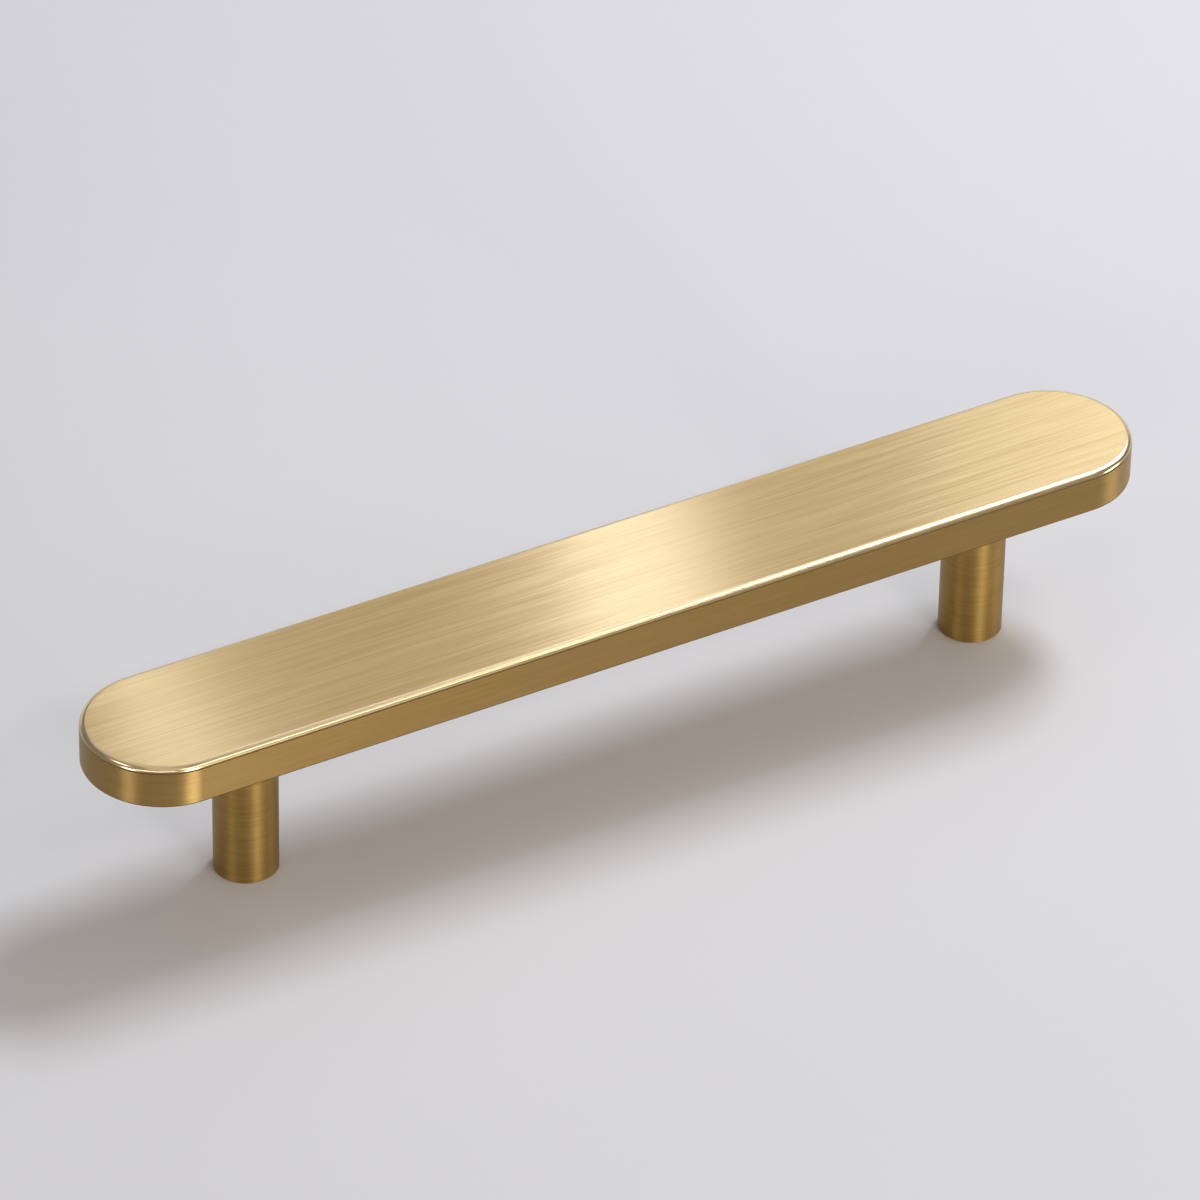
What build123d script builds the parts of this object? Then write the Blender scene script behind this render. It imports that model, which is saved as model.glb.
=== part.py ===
from build123d import *
from math import radians, tan
import os

# A cabinet pull: a flat round-ended brass bar on two turned brass posts, drawn together by hidden studs.
# Sizes are millimetres. The origin lies on the cabinet's face, midway between the two fixing holes.
# +X runs along the bar, and +Z points away from the cabinet.

# Bar
bar_overhang = 26.0  # from a post's centre to the end of the bar
bar_width = 25.0
bar_thickness = 7.0
bar_top_radius = 1.0  # soft rounding around the top face
bar_lower_break = 0.3  # small chamfer around the underside
bar_roof = 2.0  # brass left between a stud's hole and the top face

# Posts
post_spacing = 128.0  # between the centres of the two fixing holes
post_diameter = 10.0
post_height = 25.0
post_top_break = 0.15  # chamfer where the post meets the bar
post_foot_break = 0.3  # chamfer around the foot
post_web = 3.9  # brass left between the stud's hole and the cabinet screw's hole

# Joining studs: M5 socket set screws, turned into the bar first and into the posts after
stud_diameter = 5.0
stud_length = 12.0
stud_end_break = 0.5
stud_socket_width = 2.5  # across the flats of the hexagon
stud_socket_depth = 3.0
stud_drill = 4.2
stud_end_gap = 0.3  # thread left free past each end of a stud
thread_clearance = 0.05  # between a stud and the wall of its hole, on the radius

# Cabinet screws: an M4 thread in each post's foot
screw_diameter = 4.0
screw_drill = 3.3

# Tapped holes
mouth_flare = 0.4  # countersink that clears the first thread
drill_point = 118.0  # angle of the drill's tip in the posts, in degrees
flat_point = 180.0  # the bar's holes are milled flat, because the bar is thin


def depth_past_thread(wall_diameter, drill_diameter, point):
    """How far a tapped hole runs on past its full thread: the tap's lead and the drilled tip."""
    lead = (wall_diameter - drill_diameter) / 2
    tip = drill_diameter / 2 / tan(radians(point / 2))
    return lead + tip


def tapped_hole(wall_diameter, drill_diameter, thread_depth, point):
    """A blind tapped hole as a solid to cut away, with its mouth on the XY plane and its depth along +Z.

    The wall stands at the thread's outer diameter, narrows along the tap's tapered lead to the drilled
    diameter, and ends in the point that the cutter leaves.
    """
    wall = wall_diameter / 2
    drill = drill_diameter / 2
    with BuildPart() as hole:
        with BuildSketch(Plane.XZ):
            with BuildLine():
                Polyline(
                    (0, 0),
                    (wall + mouth_flare, 0),
                    (wall, mouth_flare),
                    (wall, thread_depth),
                    (drill, thread_depth + wall - drill),
                    (0, thread_depth + depth_past_thread(wall_diameter, drill_diameter, point)),
                    close=True,
                )
            make_face()
        revolve(axis=Axis.Z)
    return hole.part


# Sizes and places that follow from the ones above
bar_length = post_spacing + 2 * bar_overhang
post_places = {"left_post": -post_spacing / 2, "right_post": post_spacing / 2}
stud_wall = stud_diameter + 2 * thread_clearance
bar_thread_depth = bar_thickness - bar_roof - depth_past_thread(stud_wall, stud_drill, flat_point)
stud_in_post = stud_length - (bar_thread_depth - stud_end_gap)
post_thread_depth = stud_in_post + stud_end_gap
post_stud_hole_depth = post_thread_depth + depth_past_thread(stud_wall, stud_drill, drill_point)
screw_hole_depth = post_height - post_web - post_stud_hole_depth
screw_thread_depth = screw_hole_depth - depth_past_thread(screw_diameter, screw_drill, drill_point)
stud_foot = Plane.XY.offset(post_height - stud_in_post)

bar_stud_hole = tapped_hole(stud_wall, stud_drill, bar_thread_depth, flat_point)
post_stud_hole = tapped_hole(stud_wall, stud_drill, post_thread_depth, drill_point)
cabinet_screw_hole = tapped_hole(screw_diameter, screw_drill, screw_thread_depth, drill_point)

# Grip bar: a stadium outline, soft above and crisp below, with a blind stud hole over each post
with BuildPart() as grip_bar:
    with BuildSketch(Plane.XY.offset(post_height)):
        SlotOverall(bar_length, bar_width)
    extrude(amount=bar_thickness)
    fillet(grip_bar.edges().group_by(Axis.Z)[-1], bar_top_radius)
    chamfer(grip_bar.edges().group_by(Axis.Z)[0], bar_lower_break)
    with Locations(*[(x, 0, post_height) for x in post_places.values()]):
        add(bar_stud_hole, mode=Mode.SUBTRACT)
grip_bar.part.label = "grip_bar"

# Posts: turned rod, tapped at the top for the stud and at the foot for the cabinet screw
posts = []
for name, post_x in post_places.items():
    with BuildPart() as post:
        with BuildSketch(Plane((post_x, 0, 0))):
            Circle(post_diameter / 2)
        extrude(amount=post_height)
        chamfer(post.edges().group_by(Axis.Z)[-1], post_top_break)
        chamfer(post.edges().group_by(Axis.Z)[0], post_foot_break)
        with Locations((post_x, 0, post_height)):
            add(post_stud_hole, rotation=(180, 0, 0), mode=Mode.SUBTRACT)
        with Locations((post_x, 0, 0)):
            add(cabinet_screw_hole, mode=Mode.SUBTRACT)
    post.part.label = name
    posts.append(post.part)

# Joining studs: chamfered at both ends, with a hexagon socket at the end that faces the foot
with BuildPart() as joining_studs:
    with BuildSketch(stud_foot):
        with Locations(*[(x, 0) for x in post_places.values()]):
            Circle(stud_diameter / 2)
    extrude(amount=stud_length)
    chamfer(joining_studs.edges().filter_by(GeomType.CIRCLE), stud_end_break)
    with BuildSketch(stud_foot):
        with Locations(*[(x, 0) for x in post_places.values()]):
            RegularPolygon(stud_socket_width / 2, side_count=6, major_radius=False)
    extrude(amount=stud_socket_depth, mode=Mode.SUBTRACT)
joining_studs.part.label = "joining_studs"

os.makedirs("parts", exist_ok=True)
for piece in (grip_bar.part, *posts, joining_studs.part):
    export_step(piece, f"parts/{piece.label}.step")
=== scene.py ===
import bmesh
import bpy
import math
from mathutils import Matrix, Vector


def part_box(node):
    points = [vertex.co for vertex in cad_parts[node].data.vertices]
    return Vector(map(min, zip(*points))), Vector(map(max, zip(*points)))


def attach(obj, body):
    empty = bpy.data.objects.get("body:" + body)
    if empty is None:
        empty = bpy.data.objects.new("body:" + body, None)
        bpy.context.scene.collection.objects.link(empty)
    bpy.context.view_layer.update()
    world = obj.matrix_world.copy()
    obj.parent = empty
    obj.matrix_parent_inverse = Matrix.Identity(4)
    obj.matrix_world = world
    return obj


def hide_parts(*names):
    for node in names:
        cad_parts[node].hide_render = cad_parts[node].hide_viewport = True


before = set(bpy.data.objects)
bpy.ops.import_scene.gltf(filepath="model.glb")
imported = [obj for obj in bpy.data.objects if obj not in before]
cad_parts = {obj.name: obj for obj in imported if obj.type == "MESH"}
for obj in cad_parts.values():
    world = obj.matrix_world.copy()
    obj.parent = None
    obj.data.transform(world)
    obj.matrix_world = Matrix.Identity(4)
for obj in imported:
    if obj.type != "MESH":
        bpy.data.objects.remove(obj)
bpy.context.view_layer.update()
scene = bpy.context.scene
mm = 0.001
weldGap = 0.001 * mm  # corners closer than this are one
noiseLow, noiseHigh = 0.3, 0.7  # where most values of a noise texture lie
print("frame loaded with", ", ".join(sorted(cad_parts)))


def linearColour(hexColour):
    channels = [int(hexColour[i:i + 2], 16) / 255 for i in (1, 3, 5)]
    linear = [c / 12.92 if c <= 0.04045 else ((c + 0.055) / 1.055) ** 2.4 for c in channels]
    return (*linear, 1.0)


def addNode(tree, kind, inputs, **settings):
    node = tree.nodes.new(kind)
    for key, value in settings.items():
        setattr(node, key, value)
    for key, value in inputs.items():
        if isinstance(value, bpy.types.NodeSocket):
            tree.links.new(value, node.inputs[key])
        else:
            node.inputs[key].default_value = value
    return node


def newMaterial(name):
    material = bpy.data.materials.new(name)
    material.use_nodes = True
    material.node_tree.nodes.clear()
    return material


# Camera at the photograph's viewing angle, with a long lens
cameraSettings = {
    "azimuth": -30.533,  # degrees, 0 looks along +Y
    "elevation": 35.742,
    "roll": 1.121,
    "distance": 1.2927,
    "aim": (-1.91 * mm, 2.14 * mm, 26.21 * mm),
    "lens": 255.68,
    "sensor": 36.0,
}


def makeCamera(settings):
    data = bpy.data.cameras.new("photoCamera")
    data.lens = settings["lens"]
    data.sensor_width = settings["sensor"]
    camera = bpy.data.objects.new("photoCamera", data)
    turn = Matrix.Rotation(math.radians(settings["azimuth"]), 4, "Z")
    tilt = Matrix.Rotation(math.radians(90 - settings["elevation"]), 4, "X")
    roll = Matrix.Rotation(math.radians(settings["roll"]), 4, "Z")
    back = Matrix.Translation((0, 0, settings["distance"]))
    camera.matrix_world = Matrix.Translation(settings["aim"]) @ turn @ tilt @ roll @ back
    scene.collection.objects.link(camera)
    scene.camera = camera


makeCamera(cameraSettings)
print("camera placed")

# Satin brass, brushed: fine scratches that all run one way, so that gloss is stretched across them
topFinish = {
    "pale": "#dfc691",
    "deep": "#cdb17c",
    "scratchWidth": 0.22 * mm,  # a real scratch is a tenth of this, too fine to show
    "scratchLength": 16 * mm,
    "scratchDepth": 0.002 * mm,
    "lean": 0.008,  # how far single scratches turn the surface
    "roughness": (0.165, 0.185),
    "haze": 0.28,  # share of the surface that is rougher
    "hazeRoughness": 0.28,
    "anisotropy": 0.88,
}
# the narrow sides are brushed by hand around the outline, which leaves them duller; their colours are darker
# than the top's brass as painted shade
sideFinishPaintedShade = {
    "pale": "#a58752",
    "deep": "#9c7f4b",
    "scratchWidth": 0.35 * mm,
    "scratchLength": 10 * mm,
    "scratchDepth": 0.002 * mm,
    "lean": 0.02,
    "roughness": (0.38, 0.42),
    "haze": 0.28,
    "hazeRoughness": 0.4,
    "anisotropy": 0.89,
}
# the posts keep the rings of the turning tool; their colours are darker than the top's brass as painted
# shade
postFinishPaintedShade = {
    "pale": "#9e8049",
    "deep": "#94763f",
    "scratchWidth": 0.3 * mm,
    "scratchLength": 8 * mm,
    "scratchDepth": 0.002 * mm,
    "lean": 0.02,
    "roughness": (0.42, 0.46),
    "haze": 0.3,
    "hazeRoughness": 0.52,
    "anisotropy": 0.6,
}


# worked brass has a clear gloss with a wider haze around it
def addGloss(tree, settings, roughness, inputs):
    gloss = {**inputs, "Metallic": 1.0}
    clear = addNode(tree, "ShaderNodeBsdfPrincipled", {**gloss, "Roughness": roughness}).outputs[0]
    hazy = addNode(tree, "ShaderNodeBsdfPrincipled", {
        **gloss, "Roughness": settings["hazeRoughness"]}).outputs[0]
    blend = addNode(tree, "ShaderNodeMixShader", {0: settings["haze"], 1: clear, 2: hazy}).outputs[0]
    addNode(tree, "ShaderNodeOutputMaterial", {"Surface": blend})


def satinBrass(name, settings, scratchAxes, glossAxis):
    material = newMaterial(name)
    tree = material.node_tree
    place = addNode(tree, "ShaderNodeTexCoord", {}).outputs["Object"]
    face = addNode(tree, "ShaderNodeNewGeometry", {}).outputs["Normal"]
    scale = [1 / settings["scratchLength" if axis in scratchAxes else "scratchWidth"] for axis in "XYZ"]
    stretched = addNode(tree, "ShaderNodeMapping", {"Vector": place, "Scale": scale}).outputs[0]
    scratches = addNode(tree, "ShaderNodeTexNoise", {
        "Vector": stretched, "Scale": 1.0, "Detail": 1.0}).outputs[0]
    tint = addNode(tree, "ShaderNodeMapRange", {"Value": scratches, 1: noiseLow, 2: noiseHigh}).outputs[0]
    colour = addNode(tree, "ShaderNodeMix", {
        0: tint,
        6: linearColour(settings["deep"]),
        7: linearColour(settings["pale"]),
    }, data_type="RGBA").outputs[2]
    low, high = settings["roughness"]
    roughness = addNode(tree, "ShaderNodeMapRange", {
        "Value": scratches, 1: noiseLow, 2: noiseHigh, 3: low, 4: high}).outputs[0]
    # single scratches lean a little along the brushing, which feathers the bands of gloss
    across = addNode(tree, "ShaderNodeCombineXYZ", dict(zip("XYZ", glossAxis))).outputs[0]
    along = addNode(tree, "ShaderNodeVectorMath", {0: across, 1: face}, operation="CROSS_PRODUCT").outputs[0]
    tilt = addNode(tree, "ShaderNodeMapRange", {
        "Value": scratches, 3: -settings["lean"], 4: settings["lean"]}).outputs[0]
    leaning = addNode(tree, "ShaderNodeVectorMath", {0: along, "Scale": tilt}, operation="SCALE").outputs[0]
    bump = addNode(tree, "ShaderNodeBump", {
        "Height": scratches, "Distance": settings["scratchDepth"]}).outputs[0]
    summed = addNode(tree, "ShaderNodeVectorMath", {0: bump, 1: leaning}, operation="ADD").outputs[0]
    normal = addNode(tree, "ShaderNodeVectorMath", {0: summed}, operation="NORMALIZE").outputs[0]
    addGloss(tree, settings, roughness, {
        "Base Color": colour, "Anisotropic": settings["anisotropy"], "Tangent": across, "Normal": normal})
    return material


# Buffed brass on the edges of the bar, with painted light by which way each face points: pale on the upper
# part as painted highlight, deep on the lower part as painted shade
buffedEdgePaintedLight = {
    "pale": "#e6d0a6",
    "deep": "#7d6232",
    "paintedShadeFrom": 0.2,  # upward share of the face's direction where the painted shade begins to fade to pale
    "paintedShadeTo": 0.5,
    "grain": 4 * mm,
    "roughness": (0.15, 0.18),
    "haze": 0.26,
    "hazeRoughness": 0.28,
}


def buffedBrassPaintedLight(name, settings):
    material = newMaterial(name)
    tree = material.node_tree
    face = addNode(tree, "ShaderNodeNewGeometry", {}).outputs["Normal"]
    upward = addNode(tree, "ShaderNodeSeparateXYZ", {0: face}).outputs["Z"]
    # painted shade and highlight: faces turned down get the deep colour, faces turned up the pale one
    clear = addNode(tree, "ShaderNodeMapRange", {
        "Value": upward, 1: settings["paintedShadeFrom"], 2: settings["paintedShadeTo"]}).outputs[0]
    colour = addNode(tree, "ShaderNodeMix", {
        0: clear,
        6: linearColour(settings["deep"]),
        7: linearColour(settings["pale"]),
    }, data_type="RGBA").outputs[2]
    place = addNode(tree, "ShaderNodeTexCoord", {}).outputs["Object"]
    grain = addNode(tree, "ShaderNodeTexNoise", {"Vector": place, "Scale": 1 / settings["grain"]}).outputs[0]
    low, high = settings["roughness"]
    roughness = addNode(tree, "ShaderNodeMapRange", {
        "Value": grain, 1: noiseLow, 2: noiseHigh, 3: low, 4: high}).outputs[0]
    addGloss(tree, settings, roughness, {"Base Color": colour})
    return material


# Zinc-plated steel of the studs, bluish and faintly cloudy
zincSettings = {
    "pale": "#c3c8cc",
    "deep": "#a3a9ae",
    "grain": 1.5 * mm,
    "roughness": (0.28, 0.42),
}


def platedSteel(name, settings):
    material = newMaterial(name)
    tree = material.node_tree
    place = addNode(tree, "ShaderNodeTexCoord", {}).outputs["Object"]
    grain = addNode(tree, "ShaderNodeTexNoise", {
        "Vector": place, "Scale": 1 / settings["grain"], "Detail": 3.0}).outputs[0]
    colour = addNode(tree, "ShaderNodeMix", {
        0: grain,
        6: linearColour(settings["deep"]),
        7: linearColour(settings["pale"]),
    }, data_type="RGBA").outputs[2]
    low, high = settings["roughness"]
    roughness = addNode(tree, "ShaderNodeMapRange", {
        "Value": grain, 1: noiseLow, 2: noiseHigh, 3: low, 4: high}).outputs[0]
    shader = addNode(tree, "ShaderNodeBsdfPrincipled", {
        "Base Color": colour, "Metallic": 1.0, "Roughness": roughness})
    addNode(tree, "ShaderNodeOutputMaterial", {"Surface": shader.outputs[0]})
    return material


brushedTop = satinBrass("brass_brushed_along", topFinish, "X", (0, 1, 0))
# sides take a darker copy of the top's brass as painted shade
brushedSide = satinBrass("brass_brushed_around_painted_shade", sideFinishPaintedShade, "XY", (0, 0, 1))
# posts take a darker copy of the top's brass as painted shade
turned = satinBrass("brass_turned_painted_shade", postFinishPaintedShade, "XY", (0, 0, 1))
# the edge material paints highlight and shade by which way each face points
buffed = buffedBrassPaintedLight("brass_buffed_painted_light", buffedEdgePaintedLight)
zinc = platedSteel("steel_zinc_plated", zincSettings)
print("materials made")

# Metric threads, which the solids leave plain
threadSettings = {
    "studPitch": 0.8 * mm,
    "screwPitch": 0.7 * mm,
    "innerDepth": 0.541,  # shares of the pitch
    "outerDepth": 0.613,
    "rootFlat": 0.25,
    "crestFlat": 0.125,
    "ringsPerTurn": 10,
    "reach": 0.01 * mm,  # corners this close to the wall are on it
}


def turnProfile(axisX, points, threadedEdges, steps):
    bm = bmesh.new()
    corners = [bm.verts.new((axisX + radius, 0, z)) for radius, z in points]
    edges = [bm.edges.new(pair) for pair in zip(corners, corners[1:])]
    for index, pitch in threadedEdges.items():
        rings = round(edges[index].calc_length() / pitch * threadSettings["ringsPerTurn"])
        bmesh.ops.subdivide_edges(bm, edges=[edges[index]], cuts=rings)
    bmesh.ops.spin(bm, geom=bm.verts[:] + bm.edges[:], cent=(axisX, 0, 0), axis=(0, 0, 1),
                   angle=2 * math.pi, steps=steps, use_merge=True)
    bmesh.ops.remove_doubles(bm, verts=bm.verts[:], dist=weldGap)
    return bm


def cutThread(bm, axisX, wall, pitch, low, high, inner):
    rise = 1 - threadSettings["rootFlat"] - threadSettings["crestFlat"]
    depth = pitch * threadSettings["innerDepth" if inner else "outerDepth"]
    for vertex in bm.verts:
        spoke = Vector((vertex.co.x - axisX, vertex.co.y, 0))
        fromEnd = min(vertex.co.z - low, high - vertex.co.z)
        if abs(spoke.length - wall) > threadSettings["reach"] or fromEnd < 0:
            continue
        turns = vertex.co.z / pitch - math.atan2(spoke.y, spoke.x) / (2 * math.pi)
        ramp = abs(2 * (turns % 1) - 1)  # 1 on an outer thread's crest, 0 in its root
        flank = 1 - ramp if inner else ramp
        height = min(max((flank - threadSettings["rootFlat"]) / rise, 0), 1)
        cut = height if inner else 1 - height
        vertex.co -= spoke.normalized() * depth * cut * min(2 * fromEnd / pitch, 1)


def absorb(bm, other):
    mesh = bpy.data.meshes.new("absorbed")
    other.to_mesh(mesh)
    other.free()
    bm.from_mesh(mesh)
    bpy.data.meshes.remove(mesh)


sharpAngle = 28.0  # degrees, wider corners stay crisp


def finishPiece(bm, name, materials, node):
    bmesh.ops.remove_doubles(bm, verts=bm.verts[:], dist=weldGap)
    bmesh.ops.recalc_face_normals(bm, faces=bm.faces[:])
    mesh = bpy.data.meshes.new(name)
    bm.to_mesh(mesh)
    bm.free()
    for material in materials:
        mesh.materials.append(material)
    mesh.shade_smooth()
    mesh.set_sharp_from_angle(angle=math.radians(sharpAngle))
    piece = bpy.data.objects.new(name, mesh)
    scene.collection.objects.link(piece)
    flats = piece.modifiers.new("flats_stay_flat", "WEIGHTED_NORMAL")
    flats.keep_sharp = True
    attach(piece, "root")
    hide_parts(node)
    print(name, "has", len(mesh.polygons), "faces")


postAxes = {node: sum(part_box(node), Vector()).x / 2 for node in ("left_post", "right_post")}

# Grip bar: a stadium with a soft top edge, a crisp lower edge and two blind holes for the studs
barSettings = {
    "endSteps": 72,
    "topRadius": 1.0 * mm,
    "topSegments": 12,
    "lowerBreak": 0.3 * mm,
    "lowerSegments": 3,
    "holeWall": 2.55 * mm,
    "holeDrill": 2.1 * mm,
    "holeThread": 4.55 * mm,
    "holeFlare": 0.4 * mm,
    "holeSteps": 72,
    "holeReach": 3.0 * mm,  # faces this near a hole's axis are in it
    "holeRoof": 0.5 * mm,
    "holeMouth": 0.01 * mm,
    "flatAbove": 0.999,  # upright share of a face's direction on the top and the underside
    "sideBelow": 0.02,
}


def makeBar(settings):
    low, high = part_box("grip_bar")
    radius = high.y
    endX = high.x - radius
    bm = bmesh.new()
    start = bm.verts.new((endX, -radius, low.z))
    bmesh.ops.spin(bm, geom=[start], cent=(endX, 0, low.z), axis=(0, 0, 1),
                   angle=math.pi, steps=settings["endSteps"])
    copy = bmesh.ops.duplicate(bm, geom=bm.verts[:] + bm.edges[:])["geom"]
    bmesh.ops.rotate(bm, verts=[v for v in copy if isinstance(v, bmesh.types.BMVert)],
                     cent=(0, 0, 0), matrix=Matrix.Rotation(math.pi, 3, "Z"))
    tips = [v for v in bm.verts if len(v.link_edges) == 1]
    for side in (-1, 1):
        bm.edges.new([v for v in tips if v.co.y * side > 0])
    outline = bmesh.ops.contextual_create(bm, geom=bm.edges[:])["faces"]
    raised = bmesh.ops.extrude_face_region(bm, geom=outline)["geom"]
    bmesh.ops.translate(bm, vec=(0, 0, high.z - low.z),
                        verts=[v for v in raised if isinstance(v, bmesh.types.BMVert)])
    rims = {
        z: [e for e in bm.edges if all(abs(v.co.z - z) < weldGap for v in e.verts)]
        for z in (low.z, high.z)
    }
    bmesh.ops.bevel(bm, geom=rims[high.z], offset=settings["topRadius"], offset_type="OFFSET",
                    segments=settings["topSegments"], profile=0.5, affect="EDGES", material=-1)
    bmesh.ops.bevel(bm, geom=rims[low.z], offset=settings["lowerBreak"], offset_type="OFFSET",
                    segments=settings["lowerSegments"], profile=0.5, affect="EDGES", material=-1)
    # underside opened for the holes, then closed around their mouths
    under = [f for f in bm.faces if all(abs(v.co.z - low.z) < weldGap for v in f.verts)]
    bmesh.ops.delete(bm, geom=under, context="FACES_ONLY")
    wall = settings["holeWall"]
    drill = settings["holeDrill"]
    threadEnd = low.z + settings["holeThread"]
    floor = threadEnd + wall - drill
    for axisX in postAxes.values():
        hole = turnProfile(axisX, [
            (wall + settings["holeFlare"], low.z),
            (wall, low.z + settings["holeFlare"]),
            (wall, threadEnd),
            (drill, floor),
            (0, floor),
        ], {1: threadSettings["studPitch"]}, settings["holeSteps"])
        cutThread(hole, axisX, wall, threadSettings["studPitch"],
                  low.z + settings["holeFlare"], threadEnd, True)
        absorb(bm, hole)
    bmesh.ops.triangle_fill(bm, edges=[e for e in bm.edges if e.is_boundary], normal=(0, 0, -1))
    bm.normal_update()
    materials = [brushedTop, brushedSide, buffed, turned]
    for face in bm.faces:
        middle = face.calc_center_median()
        fromAxis = min((middle - Vector((x, 0, middle.z))).length for x in postAxes.values())
        inside = low.z + settings["holeMouth"] < middle.z < high.z - settings["holeRoof"]
        upright = abs(face.normal.z)
        if inside and fromAxis < settings["holeReach"]:
            finish = turned
        elif upright > settings["flatAbove"]:
            finish = brushedTop
        elif upright < settings["sideBelow"]:
            finish = brushedSide
        else:
            finish = buffed
        face.material_index = materials.index(finish)
    finishPiece(bm, "bar_brushed", materials, "grip_bar")


makeBar(barSettings)

# Posts: turned rod, with the stud's hole in the top and the cabinet screw's hole in the foot
postSettings = {
    "footBreak": 0.3 * mm,
    "topBreak": 0.15 * mm,
    "flare": 0.4 * mm,
    "screwWall": 2.0 * mm,
    "screwDrill": 1.65 * mm,
    "screwThread": 9.997 * mm,
    "studWall": 2.55 * mm,
    "studDrill": 2.1 * mm,
    "studThread": 8.05 * mm,
    "drillPoint": 118.0,  # degrees
    "steps": 96,
}


def makePost(node, settings):
    low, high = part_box(node)
    axisX = postAxes[node]
    radius = high.y
    slope = math.tan(math.radians(settings["drillPoint"] / 2))
    flare = settings["flare"]
    screw = settings["screwWall"]
    screwDrill = settings["screwDrill"]
    screwEnd = low.z + settings["screwThread"]
    screwLead = screwEnd + screw - screwDrill
    stud = settings["studWall"]
    studDrill = settings["studDrill"]
    studEnd = high.z - settings["studThread"]
    studLead = studEnd - stud + studDrill
    bm = turnProfile(axisX, [
        (0, screwLead + screwDrill / slope),
        (screwDrill, screwLead),
        (screw, screwEnd),
        (screw, low.z + flare),
        (screw + flare, low.z),
        (radius - settings["footBreak"], low.z),
        (radius, low.z + settings["footBreak"]),
        (radius, high.z - settings["topBreak"]),
        (radius - settings["topBreak"], high.z),
        (stud + flare, high.z),
        (stud, high.z - flare),
        (stud, studEnd),
        (studDrill, studLead),
        (0, studLead - studDrill / slope),
    ], {2: threadSettings["screwPitch"], 10: threadSettings["studPitch"]}, settings["steps"])
    cutThread(bm, axisX, screw, threadSettings["screwPitch"], low.z + flare, screwEnd, True)
    cutThread(bm, axisX, stud, threadSettings["studPitch"], studEnd, high.z - flare, True)
    finishPiece(bm, node + "_turned", [turned], node)


for node in postAxes:
    makePost(node, postSettings)

# Joining studs: set screws with a hexagon socket in the lower end
studSettings = {
    "endBreak": 0.5 * mm,
    "socketWidth": 2.5 * mm,
    "socketDepth": 3.0 * mm,
    "steps": 72,
}


def makeStuds(settings):
    low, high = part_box("joining_studs")
    radius = high.y
    chamfer = settings["endBreak"]
    pitch = threadSettings["studPitch"]
    bm = bmesh.new()
    for axisX in postAxes.values():
        shank = turnProfile(axisX, [
            (0, high.z),
            (radius - chamfer, high.z),
            (radius, high.z - chamfer),
            (radius, low.z + chamfer),
            (radius - chamfer, low.z),
        ], {2: pitch}, settings["steps"])
        cutThread(shank, axisX, radius, pitch, low.z + chamfer, high.z - chamfer, False)
        socket = bmesh.ops.create_circle(
            shank, segments=6, radius=settings["socketWidth"] / math.sqrt(3),
            matrix=Matrix.Translation((axisX, 0, low.z)))["verts"]
        rim = list({e for v in socket for e in v.link_edges})
        walls = bmesh.ops.extrude_edge_only(shank, edges=rim)["geom"]
        bmesh.ops.translate(shank, vec=(0, 0, settings["socketDepth"]),
                            verts=[v for v in walls if isinstance(v, bmesh.types.BMVert)])
        bmesh.ops.contextual_create(shank, geom=[e for e in walls if isinstance(e, bmesh.types.BMEdge)])
        bmesh.ops.triangle_fill(shank, edges=[e for e in shank.edges if e.is_boundary], normal=(0, 0, -1))
        absorb(bm, shank)
    finishPiece(bm, "studs_threaded", [zinc], "joining_studs")


makeStuds(studSettings)

# Floor: plain pale card
floorSettings = {"colour": "#d9d8da", "size": 8.0, "roughness": 0.9, "specular": 0.0}


def makeFloor(settings):
    bm = bmesh.new()
    bmesh.ops.create_grid(bm, x_segments=1, y_segments=1, size=settings["size"] / 2)
    mesh = bpy.data.meshes.new("floor")
    bm.to_mesh(mesh)
    bm.free()
    material = newMaterial("pale_card")
    tree = material.node_tree
    shader = addNode(tree, "ShaderNodeBsdfPrincipled", {
        "Base Color": linearColour(settings["colour"]), "Roughness": settings["roughness"],
        "Specular IOR Level": settings["specular"]})
    addNode(tree, "ShaderNodeOutputMaterial", {"Surface": shader.outputs[0]})
    mesh.materials.append(material)
    floor = bpy.data.objects.new("floor", mesh)
    scene.collection.objects.link(floor)


makeFloor(floorSettings)

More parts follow.
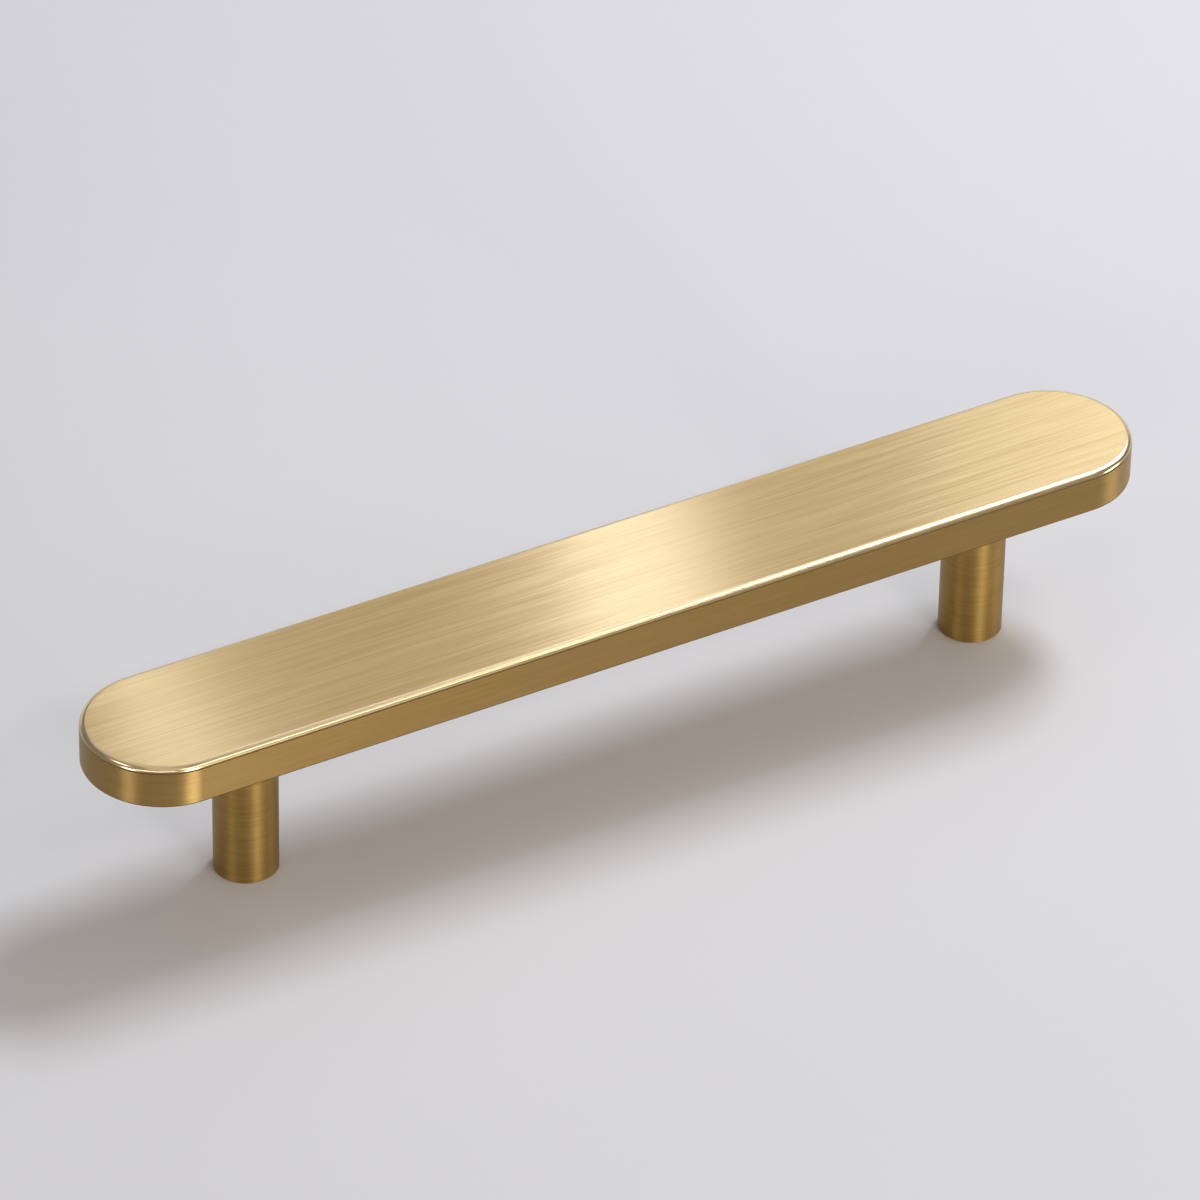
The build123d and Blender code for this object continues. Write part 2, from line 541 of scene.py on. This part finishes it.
# Studio light: a key from behind on the right with a dim canopy, strips behind for the bands on the top,
# cards and strips around for the edges and posts; level 1 looks as bright as white card
lightSettings = {
    "key": {"place": (0.9, 0.37, 1.1), "along": (0, 1, 0), "size": (0.25, 0.5),
            "level": 33.5, "colour": "#e6f1ff"},
    "canopy": {"place": (0.3, 0.48, 1.0), "along": (0, 1, 0), "size": (1.6, 1.1),
               "level": 0.43, "colour": "#fff5ea"},
    "overhead": {"place": (0.54, -0.25, 1.02), "along": (0.1, 1, 0), "size": (0.13, 0.6),
                 "level": 5.5, "colour": "#fff6ec"},
    "frontEdge": {"place": (0.18, -0.83, 0.75), "along": (1, 0, 0), "size": (0.11, 0.62),
                  "level": 7.5, "colour": "#fff6ec"},
    "frontLeft": {"place": (-0.66, -0.76, 0.48), "along": (0.76, -0.66, 0), "size": (0.09, 0.95),
                  "level": 5.5, "colour": "#fff6ec"},
    "upperLeft": {"place": (-0.28, -0.4, 1.0), "along": (0.6, 0.8, 0), "size": (0.6, 0.9),
                  "level": 0.45, "colour": "#fff5ea"},
    "leftCard": {"place": (-0.79, 0.07, 0.79), "along": (0, 1, 0), "size": (0.2, 0.3),
                 "level": 4, "colour": "#fff6ec"},
    "rightCard": {"place": (0.75, 0.2, 0.65), "along": (0, 1, 0), "size": (0.35, 0.4),
                  "level": 3, "colour": "#fff6ec"},
    "stripLeft": {"place": (0.186, 0.45, 0.5), "along": (0.2, -1, 1), "size": (0.006, 0.3),
                  "level": 7.5, "colour": "#d6e2ff"},
    "stripMiddle": {"place": (0.292, 0.45, 0.5), "along": (-0.2, -1, 1), "size": (0.034, 0.3),
                    "level": 2.6, "colour": "#cfdcff"},
    "stripRight": {"place": (0.42, 0.45, 0.5), "along": (-0.2, -1, 1), "size": (0.08, 0.3),
                   "level": 0.72, "colour": "#cfdcff"},
    "backCard": {"place": (0.6, 1.3, 0.25), "along": (0, 0, 1), "size": (2.4, 0.5),
                 "level": 0.6, "colour": "#ffffff"},
    "frontStrip": {"place": (0.077, -0.99, 0.1), "along": (0, 0, 1), "size": (0.24, 0.16),
                   "level": 47, "colour": "#ffffff"},
    "leftStrip": {"place": (-0.956, -0.292, 0.1), "along": (0, 0, 1), "size": (0.2, 0.16),
                  "level": 20, "colour": "#ffffff"},
    "rightStrip": {"place": (0.848, -0.53, 0.1), "along": (0, 0, 1), "size": (0.36, 0.16),
                   "level": 13, "colour": "#ffffff"},
}
lightAim = Vector((0, 0, 0.03))
worldSettings = {"colour": "#ffecd6", "strength": 0.02, "mirrored": "#f4f3f2", "mirroredStrength": 0.25}


def addSoftbox(name, settings):
    width, length = settings["size"]
    data = bpy.data.lights.new(name, "AREA")
    data.shape = "RECTANGLE"
    data.size = width
    data.size_y = length
    data.energy = settings["level"] * math.pi * width * length
    data.color = linearColour(settings["colour"])[:3]
    towards = (Vector(settings["place"]) - lightAim).normalized()
    across = Vector(settings["along"]).cross(towards).normalized()
    turn = Matrix((across, towards.cross(across), towards)).transposed().to_4x4()
    light = bpy.data.objects.new(name, data)
    light.matrix_world = Matrix.Translation(settings["place"]) @ turn
    scene.collection.objects.link(light)


for name, settings in lightSettings.items():
    addSoftbox(name, settings)

world = bpy.data.worlds.new("studio")
world.use_nodes = True
world.node_tree.nodes.clear()
glow = addNode(world.node_tree, "ShaderNodeBackground", {
    "Color": linearColour(worldSettings["colour"]), "Strength": worldSettings["strength"]})
# the brass shows pale studio walls from every side, and the floor keeps its shadow
walls = addNode(world.node_tree, "ShaderNodeBackground", {
    "Color": linearColour(worldSettings["mirrored"]), "Strength": worldSettings["mirroredStrength"]})
rays = addNode(world.node_tree, "ShaderNodeLightPath", {})
surround = addNode(world.node_tree, "ShaderNodeMixShader", {
    0: rays.outputs["Is Glossy Ray"], 1: glow.outputs[0], 2: walls.outputs[0]})
addNode(world.node_tree, "ShaderNodeOutputWorld", {"Surface": surround.outputs[0]})
scene.world = world
scene.view_settings.view_transform = "Standard"
print("lights set")
